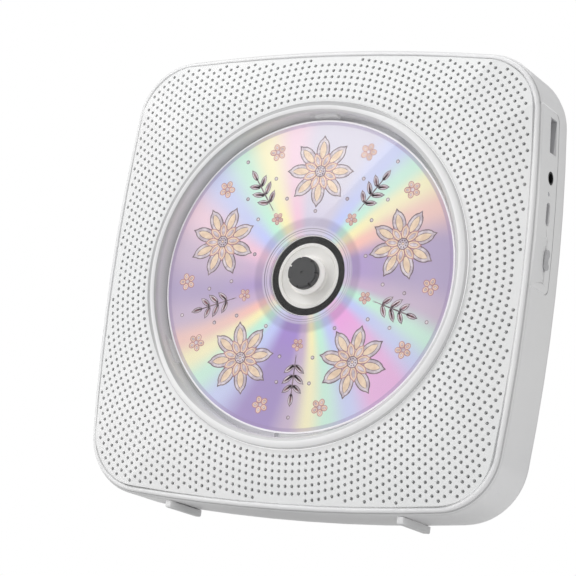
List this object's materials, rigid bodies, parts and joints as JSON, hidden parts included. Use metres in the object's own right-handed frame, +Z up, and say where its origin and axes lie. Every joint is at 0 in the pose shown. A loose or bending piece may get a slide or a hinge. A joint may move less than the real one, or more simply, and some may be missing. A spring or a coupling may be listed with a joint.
{
  "type": "wall mounted cd player",
  "caption": "Wall-mountable disc player with a bowed square body, a perforated pillowed grille, a round disc well under a clear cover, side sockets and fin feet.",
  "frame": {"origin": "middle of the width and of the depth, at the bottom of the feet", "axes": "+X to the right as seen from the front, +Y from the front to the back, +Z up"},
  "size_m": [0.178, 0.039, 0.1791],
  "materials": {
    "shell_white": "fine satin gloss",
    "grille_white": "satin, perforated",
    "cloth": "fine woven",
    "inner_grey": "matte",
    "steel": "drawn",
    "black_plastic": "matte",
    "light_pipe": "clear",
    "circuit_board": "solder mask",
    "battery_wrap": "foil pouch",
    "driver_black": "matte",
    "rubber": "matte",
    "hub_ivory": "satin",
    "cap_grey": "satin",
    "disc_print": "printed over a mirror layer",
    "clear_cover": "polished",
    "button_grey": "satin"
  },
  "bodies": {
    "case": {"rear_shell": "shell_white", "front_rim": "shell_white", "front_grille": "grille_white", "grille_cloth": "cloth", "well_ring": "shell_white", "disc_tray": "inner_grey", "port_plate": "shell_white", "usb_port": "steel", "headphone_jack": "black_plastic", "charge_port": "steel", "status_led": "light_pipe", "side_board": "circuit_board", "main_board": "circuit_board", "battery_pack": "battery_wrap", "left_speaker": "driver_black", "right_speaker": "driver_black", "deck_frame": "steel", "deck_dampers": "rubber", "spindle_motor": "steel", "guide_rail": "steel", "sled_motor": "steel", "key_board": "circuit_board", "left_foot": "shell_white", "right_foot": "shell_white", "rear_bumpers": "rubber"},
    "turntable": {"turntable": "hub_ivory", "platter_ring": "rubber", "spindle_cap": "cap_grey", "motor_shaft": "steel"},
    "disc": {"disc": "disc_print"},
    "sled": {"laser_sled": "inner_grey", "laser_lens": "light_pipe"},
    "lead_screw": {"lead_screw": "steel"},
    "dust_cover": {"dust_cover": "clear_cover"},
    "power_switch": {"power_switch": "button_grey"},
    "button_1": {"button_1": "button_grey"},
    "button_2": {"button_2": "button_grey"},
    "button_3": {"button_3": "button_grey"},
    "button_4": {"button_4": "button_grey"},
    "button_5": {"button_5": "button_grey"}
  },
  "joints": [
    {"name": "spindle_spin", "type": "hinge", "parent": "case", "child": "turntable", "pos_m": [0, -0.0071, 0.08962], "axis": [0, 1, 0], "continuous": true},
    {"name": "disc_lift", "type": "slide", "parent": "turntable", "child": "disc", "axis": [0, -1, 0], "range_m": [0, 0.004]},
    {"name": "cover_off", "type": "slide", "parent": "case", "child": "dust_cover", "axis": [0, -1, 0], "range_m": [0, 0.03]},
    {"name": "sled_feed", "type": "slide", "parent": "case", "child": "sled", "axis": [0, 0, -1], "range_m": [0, 0.033]},
    {"name": "lead_turn", "type": "hinge", "parent": "case", "child": "lead_screw", "pos_m": [0.012, -0.0003, 0.04963], "axis": [0, 0, 1], "range_deg": [0, 3970]},
    {"name": "power_slide", "type": "slide", "parent": "case", "child": "power_switch", "axis": [0, 0, 1], "range_m": [-0.003, 0.003]},
    {"name": "button_1_press", "type": "slide", "parent": "case", "child": "button_1", "axis": [0, 0, -1], "range_m": [0, 0.0008], "stiffness_N_per_m": 1200, "springref_m": -0.0003},
    {"name": "button_2_press", "type": "slide", "parent": "case", "child": "button_2", "axis": [0, 0, -1], "range_m": [0, 0.0008], "stiffness_N_per_m": 1200, "springref_m": -0.0003},
    {"name": "button_3_press", "type": "slide", "parent": "case", "child": "button_3", "axis": [0, 0, -1], "range_m": [0, 0.0008], "stiffness_N_per_m": 1200, "springref_m": -0.0003},
    {"name": "button_4_press", "type": "slide", "parent": "case", "child": "button_4", "axis": [0, 0, -1], "range_m": [0, 0.0008], "stiffness_N_per_m": 1200, "springref_m": -0.0003},
    {"name": "button_5_press", "type": "slide", "parent": "case", "child": "button_5", "axis": [0, 0, -1], "range_m": [0, 0.0008], "stiffness_N_per_m": 1200, "springref_m": -0.0003}
  ],
  "couplings": [
    {"joint": "lead_turn", "follows": "sled_feed", "rad_per_m": 2094.4}
  ]
}
